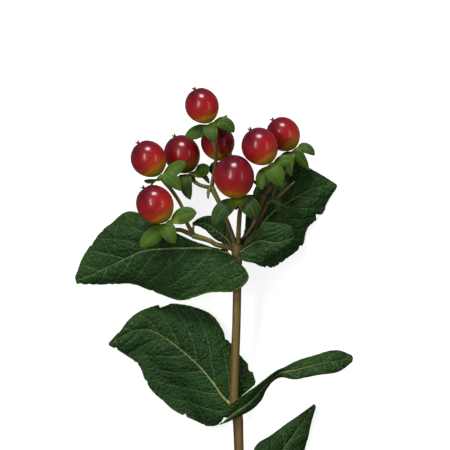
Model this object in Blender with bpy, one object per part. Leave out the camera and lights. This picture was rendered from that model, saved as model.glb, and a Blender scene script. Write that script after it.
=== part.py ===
# Hypericum berry stem, cut and laid on its back. Metres, +Z up.
# +X runs to the right and +Y up the stem, seen from above. The table is z = 0.
# Hand-set places are in millimetres from the top leaf joint, with z from the table.
import math

import bmesh
import bpy
from mathutils import Vector

MM = 0.001
# Where the top leaf joint lies, so that the origin is the middle of the whole outline
TOP_JOINT_X = 8.35
TOP_JOINT_Y = 39.27

# Clear space between pieces, blade thickness and the lowest upper face of a resting blade
GAP = 0.35
BLADE = 0.7
WELD = 1e-6

TUBE_RESOLUTION = 2
STEPS_PER_SPAN = 2
LEAF_ROWS_PER_SPAN = 2
LEAF_COLUMNS = 3
BRACT_COLUMNS = 1
LEAF_BULGE = 1.4
# A narrow leaf bulges by this share of its half width
NARROW_BULGE = 0.125

BERRY_SEGMENTS = 15
BERRY_RINGS = 9
BERRY_LOBES = 3
LOBE_DEPTH = 0.025
STYLE_COUNT = 3
STYLE_LENGTH = 2.3
STYLE_ROOT_RADIUS = 0.42
STYLE_TIP_RADIUS = 0.25
STYLE_SPREAD = 0.55
STYLE_SUNK = 0.7
FOOT_LENGTH = 0.4
FOOT_POWER = 6

RECEPTACLE_RADIUS = 2.1
RECEPTACLE_HEIGHT = 1.3
RECEPTACLE_SEGMENTS = 10
RECEPTACLE_RINGS = 4
SEAT_LENGTH = 1.6
SEAT_RADIUS = 0.7
SEAT_END_RADIUS = 0.9
SEPAL_ROWS = 6
SEPAL_THICKNESS = 0.65
SEPAL_ROOT_RADIUS = 1.2
SEPAL_ARCH = 0.16
# Outline of a sepal: start and length on a sine arch, its fullness and how blunt the tip is
SEPAL_OUTLINE_START = 0.16
SEPAL_OUTLINE_SPAN = 0.70
SEPAL_FULLNESS = 0.7
SEPAL_TIP_LOSS = 0.5
# Where a sepal bends back: share of its reach, more when it folds far back, and drop below its root
BEND_REACH = 0.55
BEND_EXTRA = 0.4
BEND_DROP = 0.3
# How far sepals turn their faces up, from which place on, and how fast this ends for hind ones
SEPAL_TURN = 0.8
TURN_DONE = 0.6
TURN_FADE = 1.6

BARK = (0.16, 0.055, 0.022)
OLIVE = (0.20, 0.17, 0.045)
PURPLE = (0.12, 0.045, 0.04)
LEAF_GREEN = (0.02, 0.06, 0.018)
SEPAL_GREEN = (0.09, 0.20, 0.025)
BERRY_RED = (0.30, 0.012, 0.014)

# Each berry is (centre, direction from stalk to tip, radius, half length)
BERRIES = [
    ((-12.3, 50.4, 19.0), (-0.42, 0.90, 0.08), 6.0, 6.2),
    ((-6.8, 37.8, 9.0), (-0.18, 0.98, 0.0), 6.1, 6.2),
    ((-31.0, 32.0, 15.0), (-0.56, 0.83, 0.0), 6.3, 6.5),
    ((-19.4, 33.8, 6.36), (-0.40, 0.91, -0.10), 6.5, 6.7),
    ((-28.7, 16.1, 18.0), (-0.58, 0.81, 0.06), 6.6, 6.9),
    ((-1.05, 25.6, 22.0), (-0.17, 0.94, 0.28), 7.2, 7.5),
    ((7.8, 36.2, 20.0), (-0.50, 0.85, 0.12), 6.5, 6.6),
    ((16.1, 40.8, 7.6), (-0.60, 0.80, -0.05), 6.0, 6.1),
]


def receptacle_foot(number):
    """Where a berry's foot is and which way the berry points, in millimetres."""
    centre, direction, _, half_length = BERRIES[number - 1]
    axis = Vector(direction).normalized()
    return Vector(centre) - axis * (half_length + FOOT_LENGTH), axis


def stalk_seat(number):
    """The last two points of a stalk, in line with its berry and just clear of the receptacle."""
    foot, axis = receptacle_foot(number)
    end = foot - axis * (RECEPTACLE_HEIGHT + 2 * GAP)
    return (*(end - axis * SEAT_LENGTH), SEAT_RADIUS), (*end, SEAT_END_RADIUS)


# Each path is a list of (x, y, z, radius)
MAIN_STEM = [
    (1.4, -136.0, 1.75, 1.7), (1.3, -118.0, 3.1, 1.7), (0.9, -98.0, 4.7, 1.8), (0.9, -93.5, 5.0, 2.1),
    (0.8, -88.0, 5.4, 1.7), (0.5, -70.0, 6.9, 1.65), (0.1, -59.5, 7.7, 1.8), (-0.7, -55.7, 8.0, 1.95),
    (-1.1, -51.5, 8.3, 1.5), (-0.9, -40.0, 9.1, 1.5), (-0.3, -22.0, 10.4, 1.45), (0.0, -5.0, 11.7, 1.5),
    (0.0, -1.5, 12.0, 2.1), (0.0, 1.6, 12.0, 2.25),
]

BRANCHES = {
    "left_branch": (OLIVE, [
        [(-2.9, 0.9, 12.9, 1.0), (-7.4, 1.9, 13.7, 0.85), (-9.9, 3.3, 14.2, 0.85), (-15.6, 5.1, 14.6, 1.05)],
        [(-15.2, 5.0, 14.6, 0.85), (-19.6, 6.9, 15.8, 0.75), *stalk_seat(5)],
        [(-15.2, 5.0, 14.6, 0.8), (-17.7, 9.5, 15.0, 0.65), (-19.6, 15.4, 15.0, 0.6),
         (-22.6, 20.3, 15.0, 0.65), *stalk_seat(3)],
        [(-15.5, 5.3, 14.8, 0.6), (-15.6, 7.4, 15.6, 0.45), (-15.2, 8.7, 16.0, 0.3)],
    ]),
    "upper_left_branch": (OLIVE, [
        [(-1.1, 2.9, 11.3, 0.85), (-3.7, 10.0, 12.3, 0.8), (-6.3, 16.3, 12.8, 0.8), (-9.1, 22.0, 13.0, 1.0)],
        [(-9.0, 21.7, 13.0, 0.75), (-12.8, 22.6, 9.6, 0.65), *stalk_seat(4)],
        [(-9.1, 21.6, 13.0, 0.75), (-8.1, 28.0, 15.0, 0.65), (-7.6, 32.3, 16.6, 0.6),
         (-8.2, 38.0, 18.0, 0.65), *stalk_seat(1)],
        [(-9.3, 22.0, 13.2, 0.7), (-10.2, 20.3, 14.3, 0.6), (-10.3, 18.0, 15.0, 0.3)],
    ]),
    "centre_branch": (OLIVE, [
        [(0.2, 2.9, 13.9, 0.85), (0.4, 8.0, 15.4, 0.8), (0.7, 12.4, 17.0, 0.8), *stalk_seat(6)],
    ]),
    "right_inner_branch": (PURPLE, [
        [(1.0, 2.9, 12.1, 0.65), (3.7, 6.0, 12.7, 0.65), (6.1, 10.2, 13.3, 0.65), (8.4, 16.5, 14.1, 0.7),
         (9.3, 19.1, 14.5, 0.9)],
        [(9.2, 18.8, 14.5, 0.75), (11.7, 22.5, 15.8, 0.75), (12.6, 25.6, 17.4, 0.75), *stalk_seat(7)],
        [(9.3, 18.9, 14.4, 0.55), (6.3, 23.5, 12.5, 0.5), (1.0, 26.5, 10.5, 0.5), (-3.0, 26.6, 9.5, 0.55),
         *stalk_seat(2)],
    ]),
    "right_outer_branch": (BARK, [
        [(2.7, 2.8, 11.2, 0.8), (5.4, 6.7, 11.3, 0.75), (7.5, 10.9, 11.4, 0.75), (10.3, 16.3, 11.5, 0.85),
         (11.6, 17.9, 11.6, 1.05)],
        [(11.4, 17.6, 11.6, 0.8), (13.4, 22.0, 10.2, 0.7), (17.2, 27.8, 7.8, 0.65), (20.3, 31.2, 7.5, 0.7),
         *stalk_seat(8)],
        [(11.5, 17.7, 11.7, 0.7), (14.2, 18.6, 12.0, 0.55), (16.7, 21.0, 12.2, 0.45), (20.0, 23.9, 11.9, 0.3)],
    ]),
}

# Each calyx has five sepals, given as (tip from the berry's foot, width)
SEPALS = [
    [((-9.2, -4.0, -0.8), 5.0), ((1.2, -6.0, 4.6), 5.0), ((7.8, -2.6, 0.4), 4.6),
     ((5.4, 3.4, -3.0), 4.2), ((-3.4, -2.6, -4.4), 4.2)],
    [((6.6, 1.0, 2.0), 5.2), ((0.8, -4.8, 4.0), 4.4), ((-3.2, -4.0, 0.2), 3.6),
     ((-1.8, -2.2, -4.6), 4.0), ((4.8, -2.0, -3.6), 4.0)],
    [((8.6, 5.2, 1.8), 4.8), ((6.8, -4.8, 2.6), 4.8), ((-6.2, -1.2, -2.8), 3.2),
     ((-4.4, -3.4, -4.2), 4.2), ((4.0, -0.6, -5.6), 4.4)],
    [((6.6, 1.8, 5.4), 5.0), ((-0.4, -8.8, 3.4), 4.8), ((-4.6, -5.0, 1.8), 4.4),
     ((-5.0, -2.8, -1.8), 4.0), ((6.2, -3.0, -2.6), 4.2)],
    [((9.6, 3.6, 1.6), 5.8), ((2.2, -7.0, 3.6), 5.6), ((-10.0, -8.2, 1.6), 5.8),
     ((-4.6, -3.4, -5.0), 4.4), ((1.6, 1.0, -6.0), 4.0)],
    [((-8.2, -8.6, 2.6), 6.2), ((5.8, -6.6, 3.6), 6.6), ((7.4, -0.8, -2.6), 4.6),
     ((-6.6, -1.4, -3.4), 4.6), ((-0.8, -3.2, -5.2), 4.2)],
    [((-3.4, -8.4, 2.6), 4.2), ((3.6, -7.2, 3.6), 6.6), ((7.6, 1.6, 0.4), 4.4),
     ((-4.6, -4.4, -3.0), 4.0), ((4.6, -1.4, -4.6), 4.2)],
    [((6.4, -1.6, 1.4), 3.8), ((-1.6, -9.0, 4.4), 4.2), ((4.4, -6.6, 2.4), 4.0),
     ((-6.2, -3.2, 0.2), 4.0), ((5.2, 0.6, -2.8), 3.8)],
]

# Each leaf is a list of stations from stalk to tip: one edge, midrib, other edge
LEAVES = {
    "leaf_upper_left": [
        ((-3.6, 0.3, 11.9), (-3.0, -0.9, 13.2), (2.6, -6.6, 16.2)),
        ((-7.5, 0.5, 11.4), (-4.6, -0.6, 12.7), (3.7, -10.2, 16.0)),
        ((-13.0, 2.6, 10.4), (-9.6, 0.7, 11.6), (-0.9, -14.4, 14.6)),
        ((-20.8, 5.4, 9.4), (-17.3, 0.7, 10.4), (-10.3, -15.0, 11.4)),
        ((-29.9, 10.9, 8.4), (-25.4, 0.4, 9.0), (-20.1, -17.8, 9.0)),
        ((-38.3, 13.5, 5.2), (-33.6, -0.6, 7.2), (-29.9, -14.4, 5.4)),
        ((-45.7, 8.6, 2.8), (-41.8, -4.2, 4.6), (-39.0, -12.0, 2.2)),
        ((-53.7, -0.7, 0.7), (-50.9, -8.6, 2.0), (-49.2, -12.5, 0.5)),
        ((-57.4, -9.6, 0.5), (-57.2, -10.9, 0.7), (-56.7, -12.1, 0.5)),
    ],
    "leaf_upper_right": [
        ((1.3, 1.8, 9.1), (1.9, -0.8, 10.3), (4.6, -4.2, 10.6)),
        ((2.5, 8.0, 7.2), (5.5, 3.0, 8.2), (11.0, -6.3, 8.4)),
        ((3.5, 15.0, 4.6), (9.0, 9.5, 5.8), (16.6, -3.7, 5.6)),
        ((7.0, 23.0, 2.8), (13.5, 14.0, 4.2), (22.6, 1.4, 3.4)),
        ((13.5, 29.0, 1.3), (19.0, 17.5, 3.0), (25.0, 7.5, 1.8)),
        ((21.0, 31.0, -1.6), (24.5, 20.5, 2.2), (30.0, 12.8, 0.5)),
        ((27.0, 28.2, -1.6), (30.0, 22.5, 1.4), (32.6, 18.0, 0.3)),
        ((34.9, 23.2, 0.5), (35.3, 22.5, 0.8), (34.9, 21.6, 0.5)),
    ],
    "leaf_front_right": [
        ((1.3, 0.6, 15.5), (0.9, -0.6, 15.3), (0.2, -1.7, 15.3)),
        ((3.8, 4.2, 16.0), (3.2, 1.0, 15.7), (2.4, -3.9, 17.0)),
        ((9.3, 9.4, 16.8), (7.6, 3.2, 16.2), (7.5, -4.2, 16.8)),
        ((15.0, 9.2, 17.4), (12.7, 2.6, 17.0), (12.5, -1.6, 16.6)),
        ((18.7, 8.4, 17.4), (16.8, 3.6, 17.4), (16.6, 0.4, 17.0)),
        ((19.7, 6.6, 16.8), (19.7, 4.4, 17.0), (19.3, 2.4, 16.6)),
    ],
    "leaf_back_left": [
        ((-1.5, 2.8, 9.2), (-1.9, 1.3, 10.2), (-2.9, 0.9, 10.2)),
        ((-2.4, 7.0, 8.3), (-4.2, 4.2, 8.7), (-5.2, 2.2, 9.2)),
        ((-5.0, 10.5, 8.3), (-7.5, 6.8, 8.8), (-8.5, 4.2, 9.2)),
        ((-9.0, 12.0, 8.9), (-10.5, 9.0, 9.2), (-11.2, 6.8, 9.4)),
        ((-12.6, 11.6, 10.4), (-13.2, 9.6, 10.4), (-13.5, 8.2, 10.4)),
        ((-15.2, 10.0, 12.0), (-15.6, 9.4, 12.0), (-15.7, 8.6, 12.0)),
    ],
    "leaf_middle_left": [
        ((6.8, -47.0, 4.6), (-2.3, -54.5, 5.4), (-4.6, -59.0, 5.2)),
        ((4.6, -41.7, 4.2), (-5.5, -51.3, 5.3), (-6.8, -61.6, 4.2)),
        ((0.5, -36.6, 3.8), (-8.5, -47.0, 4.8), (-11.8, -61.8, 2.2)),
        ((-4.5, -29.5, 3.4), (-13.5, -41.0, 4.2), (-19.0, -58.6, -2.4)),
        ((-9.5, -22.5, 2.6), (-19.5, -35.7, 3.6), (-26.0, -54.0, -4.0)),
        ((-19.0, -19.4, 1.6), (-25.0, -31.5, 2.8), (-31.5, -48.0, -4.0)),
        ((-29.0, -19.5, 0.9), (-31.5, -28.2, 2.0), (-35.0, -41.0, -3.0)),
        ((-36.5, -23.2, 0.6), (-38.3, -29.2, 1.4), (-40.0, -36.8, 0.4)),
        ((-45.3, -32.6, 0.5), (-45.6, -33.3, 0.7), (-45.2, -34.0, 0.5)),
    ],
    "leaf_middle_right": [
        ((-6.8, -57.6, 11.2), (-3.6, -58.9, 11.0), (-6.2, -61.4, 11.0)),
        ((-2.2, -53.8, 12.6), (1.0, -55.8, 11.6), (-0.4, -58.8, 10.9)),
        ((2.0, -50.8, 14.2), (4.5, -53.2, 11.8), (5.0, -56.2, 9.4)),
        ((6.5, -47.5, 15.2), (7.8, -49.8, 12.2), (8.3, -52.8, 8.8)),
        ((11.7, -43.6, 14.4), (11.4, -46.0, 12.4), (10.6, -48.3, 9.8)),
        ((15.5, -41.4, 12.4), (15.0, -43.0, 12.0), (14.8, -44.8, 11.4)),
        ((20.7, -39.0, 8.8), (20.8, -41.8, 11.0), (20.4, -45.3, 12.2)),
        ((28.0, -36.6, 6.2), (28.0, -40.0, 9.0), (28.0, -43.9, 10.8)),
        ((35.5, -35.3, 4.6), (35.3, -38.8, 7.0), (35.5, -42.8, 8.2)),
        ((40.2, -37.0, 4.2), (40.7, -38.2, 5.0), (40.3, -39.6, 5.6)),
    ],
    "leaf_lower_right": [
        ((3.2, -88.6, 4.9), (3.5, -91.2, 4.6), (5.6, -96.5, 3.4)),
        ((4.4, -82.4, 5.0), (6.9, -85.6, 4.6), (13.0, -93.0, 1.6)),
        ((4.2, -75.5, 4.6), (10.5, -79.5, 4.2), (18.5, -86.0, -0.4)),
        ((6.4, -69.3, 4.0), (14.5, -72.8, 3.6), (22.0, -78.0, -0.8)),
        ((12.0, -65.0, 3.2), (18.5, -67.0, 3.0), (24.0, -70.5, 0.2)),
        ((19.5, -59.8, 2.6), (22.8, -61.2, 2.6), (25.4, -64.0, 1.4)),
        ((27.0, -54.4, 2.4), (27.5, -54.8, 2.4), (27.7, -55.5, 2.3)),
    ],
    "leaf_lower_left": [
        ((-2.6, -90.5, 3.8), (-1.7, -94.4, 4.0), (-2.6, -98.5, 3.2)),
        ((-8.0, -86.0, 2.6), (-8.0, -96.0, 4.2), (-8.0, -105.5, 1.6)),
        ((-16.0, -84.0, 1.0), (-16.0, -98.3, 4.2), (-16.0, -111.5, -0.4)),
        ((-25.0, -86.5, 0.0), (-25.0, -101.0, 3.6), (-24.0, -114.0, -0.8)),
        ((-33.0, -93.0, 0.2), (-33.0, -103.6, 2.4), (-32.0, -112.5, -0.2)),
        ((-40.6, -105.8, 0.5), (-41.0, -106.8, 0.8), (-40.6, -107.9, 0.5)),
    ],
    "right_bract": [
        ((9.7, 16.6, 14.9), (10.0, 16.0, 14.7), (10.4, 15.4, 14.5)),
        ((11.4, 18.6, 15.0), (11.7, 17.2, 14.7), (11.9, 15.9, 14.3)),
        ((13.7, 18.4, 14.4), (13.4, 16.8, 14.6), (12.8, 15.4, 14.4)),
        ((15.6, 16.8, 14.0), (14.6, 15.8, 14.4), (13.4, 14.9, 14.4)),
        ((14.6, 13.6, 14.2), (14.2, 13.4, 14.3), (13.8, 13.2, 14.3)),
    ],
}


def to_place(point):
    """Metres in the part's frame, from millimetres round the top leaf joint."""
    return Vector(((point[0] + TOP_JOINT_X) * MM, (point[1] + TOP_JOINT_Y) * MM, point[2] * MM))


def smooth_value(before, start, end, after, t):
    """Catmull-Rom curve between start and end."""
    return 0.5 * (
        2 * start
        + (end - before) * t
        + (2 * before - 5 * start + 4 * end - after) * t**2
        + (3 * start - before - 3 * end + after) * t**3
    )


def smooth_path(points, steps):
    """A smooth run through points, each a Vector of any length, with steps per span."""
    ends = [2 * points[0] - points[1], *points, 2 * points[-1] - points[-2]]
    path = []
    for i in range(1, len(ends) - 2):
        path += [smooth_value(*ends[i - 1:i + 3], step / steps) for step in range(steps)]
    return [*path, points[-1]]


def new_collection(name):
    collection = bpy.data.collections.new(name)
    bpy.context.scene.collection.children.link(collection)
    return collection


def new_material(name, colour, roughness):
    material = bpy.data.materials.new(name)
    material.use_nodes = True
    shader = material.node_tree.nodes["Principled BSDF"]
    shader.inputs["Base Color"].default_value = (*colour, 1.0)
    shader.inputs["Roughness"].default_value = roughness
    shader.inputs["Metallic"].default_value = 0.0
    return material


def add_object(name, mesh, collection, material=None):
    obj = bpy.data.objects.new(name, mesh)
    collection.objects.link(obj)
    if material:
        mesh.materials.clear()
        mesh.materials.append(material)
    mesh.shade_smooth()
    return obj


def mesh_from(name, bm):
    bmesh.ops.recalc_face_normals(bm, faces=bm.faces)
    mesh = bpy.data.meshes.new(name)
    bm.to_mesh(mesh)
    bm.free()
    return mesh


def evaluated_mesh(obj):
    graph = bpy.context.evaluated_depsgraph_get()
    return bpy.data.meshes.new_from_object(obj.evaluated_get(graph), depsgraph=graph)


def tube(name, path, collection, steps=STEPS_PER_SPAN):
    """A tapering tube through (x, y, z, radius) points, closed at both ends."""
    run = smooth_path([Vector(point) for point in path], steps)
    curve = bpy.data.curves.new(name, "CURVE")
    curve.dimensions = "3D"
    curve.bevel_depth = MM
    curve.bevel_resolution = TUBE_RESOLUTION
    curve.use_fill_caps = True
    spline = curve.splines.new("POLY")
    spline.points.add(len(run) - 1)
    for point, place in zip(spline.points, run):
        point.co = (*to_place(place[:3]), 1.0)
        point.radius = place[3]
    guide = bpy.data.objects.new(name, curve)
    collection.objects.link(guide)
    mesh = evaluated_mesh(guide)
    bpy.data.objects.remove(guide)
    bm = bmesh.new()
    bm.from_mesh(mesh)
    bmesh.ops.remove_doubles(bm, verts=bm.verts, dist=WELD)
    bpy.data.meshes.remove(mesh)
    return add_object(name, mesh_from(name, bm), collection)


def join(name, pieces, collection, material):
    """One solid from overlapping pieces, which are removed."""
    core = pieces[0]
    cutters = new_collection(name + "_pieces")
    for piece in pieces[1:]:
        collection.objects.unlink(piece)
        cutters.objects.link(piece)
    union = core.modifiers.new("Join", "BOOLEAN")
    union.operation = "UNION"
    union.operand_type = "COLLECTION"
    union.collection = cutters
    union.solver = "EXACT"
    mesh = evaluated_mesh(core)
    for piece in pieces:
        bpy.data.objects.remove(piece)
    bpy.data.collections.remove(cutters)
    mesh.name = name
    return add_object(name, mesh, collection, material)


def blade_mesh(name, rows, thickness, resting=False):
    """A thin closed blade under rows of upper-face points in metres, split alike on both faces."""
    count = len(rows[0])
    bm = bmesh.new()
    upper = [[bm.verts.new(point) for point in row] for row in rows]
    lower = []
    for i, row in enumerate(rows):
        along = rows[min(i + 1, len(rows) - 1)][count // 2] - rows[max(i - 1, 0)][count // 2]
        down = along.cross(row[0] - row[-1]).normalized() * thickness
        lower.append([bm.verts.new(point + down) for point in row])
    if resting:
        for top_row, bottom_row in zip(upper, lower):
            for top, bottom in zip(top_row, bottom_row):
                if top.co.z <= thickness:
                    top.co.z = thickness
                    bottom.co = (top.co.x, top.co.y, 0.0)
                bottom.co.z = max(bottom.co.z, 0.0)
    for i in range(len(rows) - 1):
        for j in range(count - 1):
            for face, turn in ((upper, 1), (lower, -1)):
                a, b, c, d = face[i][j], face[i + 1][j], face[i + 1][j + 1], face[i][j + 1]
                bm.faces.new((a, b, c)[::turn])
                bm.faces.new((a, c, d)[::turn])
    rim = [(i, 0) for i in range(len(rows))]
    rim += [(len(rows) - 1, j) for j in range(1, count)]
    rim += [(i, count - 1) for i in range(len(rows) - 2, -1, -1)]
    rim += [(0, j) for j in range(count - 2, 0, -1)]
    for (i, j), (k, m) in zip(rim, rim[1:] + rim[:1]):
        bm.faces.new((upper[i][j], lower[i][j], lower[k][m]))
        bm.faces.new((upper[i][j], lower[k][m], upper[k][m]))
    return mesh_from(name, bm)


def leaf(name, stations, columns, collection, material):
    """A leaf between two edges and a midrib, each half raised between midrib and edge."""
    rails = [smooth_path([Vector(s[k]) for s in stations], LEAF_ROWS_PER_SPAN) for k in range(3)]
    rows = []
    for left, mid, right in zip(*rails):
        width = min((left - mid).length, (right - mid).length)
        bulge = min(LEAF_BULGE, width * NARROW_BULGE)
        row = []
        for j in range(2 * columns + 1):
            side = j / columns - 1
            edge = left if side < 0 else right
            share = abs(side)
            point = mid.lerp(edge, share)
            point.z += bulge * math.sin(math.pi * share)
            row.append(to_place(point))
        rows.append(row)
    along = rows[-1][columns] - rows[0][columns]
    across = rows[len(rows) // 2][-1] - rows[len(rows) // 2][0]
    if along.cross(across).z < 0:
        rows = [row[::-1] for row in rows]
    mesh = blade_mesh(name, rows, BLADE * MM, resting=True)
    return add_object(name, mesh, collection, material)


def sepal_half_width(width, t):
    arch = math.sin(math.pi * (SEPAL_OUTLINE_START + SEPAL_OUTLINE_SPAN * t))
    return width / 2 * arch**SEPAL_FULLNESS * (1 - SEPAL_TIP_LOSS * t**6)


def sepal(name, centre, axis, tip, width, collection):
    """A blunt blade that leaves the receptacle sideways, bends back and turns its face up."""
    back = -tip.dot(axis)
    outward = tip + axis * back
    reach = outward.length
    outward.normalize()
    side = axis.cross(outward)
    root = outward * SEPAL_ROOT_RADIUS
    turn = BEND_REACH + BEND_EXTRA * min(max(back, 0) / reach, 1)
    bend = outward * reach * turn - axis * BEND_DROP
    facing = SEPAL_TURN * min(max(1 + TURN_FADE * outward.z, 0), 1)
    rows = []
    for i in range(SEPAL_ROWS):
        t = i / (SEPAL_ROWS - 1)
        middle = root * (1 - t) ** 2 + bend * 2 * t * (1 - t) + tip * t**2
        along = (bend - root) * (1 - t) + (tip - bend) * t
        level = Vector((0, 0, 1)).cross(along).normalized()
        across = side.lerp(level, facing * min(t / TURN_DONE, 1)).normalized()
        face = along.cross(across).normalized()
        half = sepal_half_width(width, t)
        row = []
        for s in (-1, 0, 1):
            rise = SEPAL_ARCH * half * (1 - s * s) + SEPAL_THICKNESS / 2
            row.append(to_place(centre + middle + across * half * s + face * rise))
        rows.append(row)
    return add_object(name, blade_mesh(name, rows, SEPAL_THICKNESS * MM), collection)


def turned_along(bm, axis, centre):
    """Turns what lies along +Z to the axis and moves it to the centre."""
    turn = axis.to_track_quat("Z", "Y").to_matrix().to_4x4()
    bmesh.ops.transform(bm, matrix=turn, verts=bm.verts)
    bmesh.ops.translate(bm, vec=to_place(centre), verts=bm.verts)


def berry(name, centre, axis, radius, half_length, collection, material):
    """A fruit with three shallow lobes and the dried remains of three styles at its tip."""
    bm = bmesh.new()
    bmesh.ops.create_uvsphere(bm, u_segments=BERRY_SEGMENTS, v_segments=BERRY_RINGS, radius=1.0)
    for vert in bm.verts:
        height = vert.co.z
        girth = 1 - LOBE_DEPTH * (1 - math.cos(BERRY_LOBES * math.atan2(vert.co.y, vert.co.x)))
        vert.co.x *= radius * girth * MM
        vert.co.y *= radius * girth * MM
        vert.co.z *= half_length * MM
        vert.co.z -= FOOT_LENGTH * MM * max(-height, 0) ** FOOT_POWER
    turned_along(bm, axis, centre)
    pieces = [add_object(name, mesh_from(name, bm), collection)]
    turn = axis.to_track_quat("Z", "Y")
    for i in range(STYLE_COUNT):
        angle = 2 * math.pi * i / STYLE_COUNT
        lean = Vector((math.cos(angle) * STYLE_SPREAD, math.sin(angle) * STYLE_SPREAD, 1)).normalized()
        lean.rotate(turn)
        start = centre + axis * (half_length - STYLE_SUNK)
        path = [
            (*(start + lean * STYLE_LENGTH * t), STYLE_ROOT_RADIUS * (1 - t) + STYLE_TIP_RADIUS * t)
            for t in (0, 1)
        ]
        pieces.append(tube(f"{name}_style_{i}", path, collection, steps=1))
    return join(name, pieces, collection, material)


def calyx(name, foot, axis, sepals, collection, material):
    """The receptacle under a berry and its five sepals."""
    bm = bmesh.new()
    bmesh.ops.create_uvsphere(
        bm, u_segments=RECEPTACLE_SEGMENTS, v_segments=RECEPTACLE_RINGS, radius=1.0
    )
    for vert in bm.verts:
        vert.co.x *= RECEPTACLE_RADIUS * MM
        vert.co.y *= RECEPTACLE_RADIUS * MM
        vert.co.z *= RECEPTACLE_HEIGHT / 2 * MM
    centre = foot - axis * (GAP + RECEPTACLE_HEIGHT / 2)
    turned_along(bm, axis, centre)
    pieces = [add_object(name, mesh_from(name, bm), collection)]
    for i, (tip, width) in enumerate(sepals):
        pieces.append(sepal(f"{name}_sepal_{i}", centre, axis, Vector(tip), width, collection))
    return join(name, pieces, collection, material)


def build():
    for obj in list(bpy.data.objects):
        bpy.data.objects.remove(obj)
    parts = new_collection("hypericum_berry_stem")
    tube("main_stem", MAIN_STEM, parts).data.materials.append(new_material("bark", BARK, 0.55))
    for name, (colour, paths) in BRANCHES.items():
        pieces = [tube(f"{name}_{i}", path, parts) for i, path in enumerate(paths)]
        material = new_material(name + "_bark", colour, 0.5)
        if len(pieces) > 1:
            join(name, pieces, parts, material)
        else:
            pieces[0].name = name
            pieces[0].data.materials.append(material)
    red = new_material("berry_red", BERRY_RED, 0.2)
    green = new_material("sepal_green", SEPAL_GREEN, 0.45)
    for number, (fruit, sepals) in enumerate(zip(BERRIES, SEPALS), start=1):
        centre, axis = Vector(fruit[0]), Vector(fruit[1]).normalized()
        berry(f"berry_{number}", centre, axis, fruit[2], fruit[3], parts, red)
        foot = receptacle_foot(number)[0]
        calyx(f"calyx_{number}", foot, axis, sepals, parts, green)
    leaf_green = new_material("leaf_green", LEAF_GREEN, 0.4)
    for name, stations in LEAVES.items():
        columns = BRACT_COLUMNS if name.endswith("bract") else LEAF_COLUMNS
        leaf(name, stations, columns, parts, leaf_green)


build()
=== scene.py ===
import math

import bpy
import numpy as np
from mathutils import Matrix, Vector, noise


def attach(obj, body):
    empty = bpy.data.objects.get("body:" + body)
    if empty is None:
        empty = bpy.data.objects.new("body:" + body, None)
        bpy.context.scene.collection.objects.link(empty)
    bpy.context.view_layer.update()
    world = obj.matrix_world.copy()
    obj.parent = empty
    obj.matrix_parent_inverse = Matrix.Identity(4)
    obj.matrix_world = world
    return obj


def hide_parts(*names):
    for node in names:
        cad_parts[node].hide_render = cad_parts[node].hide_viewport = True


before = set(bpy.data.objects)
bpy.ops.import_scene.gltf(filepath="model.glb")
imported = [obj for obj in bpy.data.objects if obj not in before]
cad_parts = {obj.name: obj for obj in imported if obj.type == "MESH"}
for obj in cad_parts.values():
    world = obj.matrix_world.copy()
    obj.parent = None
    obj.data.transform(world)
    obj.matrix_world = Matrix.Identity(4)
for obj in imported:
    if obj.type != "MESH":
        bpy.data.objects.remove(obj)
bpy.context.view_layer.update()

MM = 0.001
TOP_JOINT_X = 8.35
TOP_JOINT_Y = 39.27

# The gap under a berry, the receptacle below it and the seat of the stalk in the receptacle
GAP = 0.35
FOOT_LENGTH = 0.4
FOOT_POWER = 6
RECEPTACLE_RADIUS = 2.1
RECEPTACLE_HEIGHT = 1.3
RECEPTACLE_ROUNDING = 0.8
RECEPTACLE_OVERLAP = 0.25
RECEPTACLE_LOBES = 5
RECEPTACLE_LOBE_DEPTH = 0.05
RECEPTACLE_RINGS = 12
RECEPTACLE_SIDES = 32
SEAT_LENGTH = 1.6
SEAT_OVERLAP = 0.6
SEAT_RADIUS = 0.7
SEAT_END_RADIUS = 0.9

# Each branch starts inside the top joint, at this height and this share of its way out
JOINT_HEIGHT = 12.0
JOINT_Y = 0.4
JOINT_SHARE = 0.35

# The camera looks straight down on the middle of the photograph's frame
FRAME_WIDTH = 157.5
FRAME_CENTRE_X = -4.4
FRAME_CENTRE_Y = 8.75
CAMERA_DISTANCE = 1.2
CAMERA_AIM_HEIGHT = 0.012
SENSOR = 36.0
VIEW_END = 20.0

# Leaves: the mesh, then the bare form of the blade
LEAF_ROWS_PER_SPAN = 22
LEAF_COLUMNS = 44
BRACT_COLUMNS = 14
LEAF_THICKNESS = 0.4
LEAF_REST = 0.45
UNDERSIDE_REST = 0.03
LEAF_BULGE = 1.4
NARROW_BULGE = 0.125

# Side veins leave the rib at a slant, drift a little and alternate from side to side
SIDE_VEINS = 6.0
VEIN_SLANT = 1.05
VEIN_CURVE = 0.55
VEIN_STAGGER = 0.38
VEIN_DRIFT = 1.6
VEIN_DRIFT_SIZE = 11.0
VEIN_WIDTH = 0.34
VEIN_LEAN = 0.62
VEIN_DEPTH = 0.16
RIB_WIDTH = 0.34
RIB_TIP_WIDTH = 0.12
RIB_DEPTH = 1.8
# A leaf of this length has full-sized veins, and shorter ones have finer veins
FULL_VEIN_LENGTH = 50.0
LEAST_VEIN_SIZE = 0.35

# Relief between the veins, which is full where the blade is at least this wide on each side
QUILT_HEIGHT = 0.34
QUILT_ROUNDING = 0.7
PUCKER_HEIGHT = 0.30
PUCKER_SIZE = 4.5
FINE_PUCKER_HEIGHT = 0.15
FINE_PUCKER_SIZE = 1.6
MARGIN_WAVE = 0.35
MARGIN_WAVES = 4.0
FULL_RELIEF_WIDTH = 8.0
LEAST_RELIEF = 0.12

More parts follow.
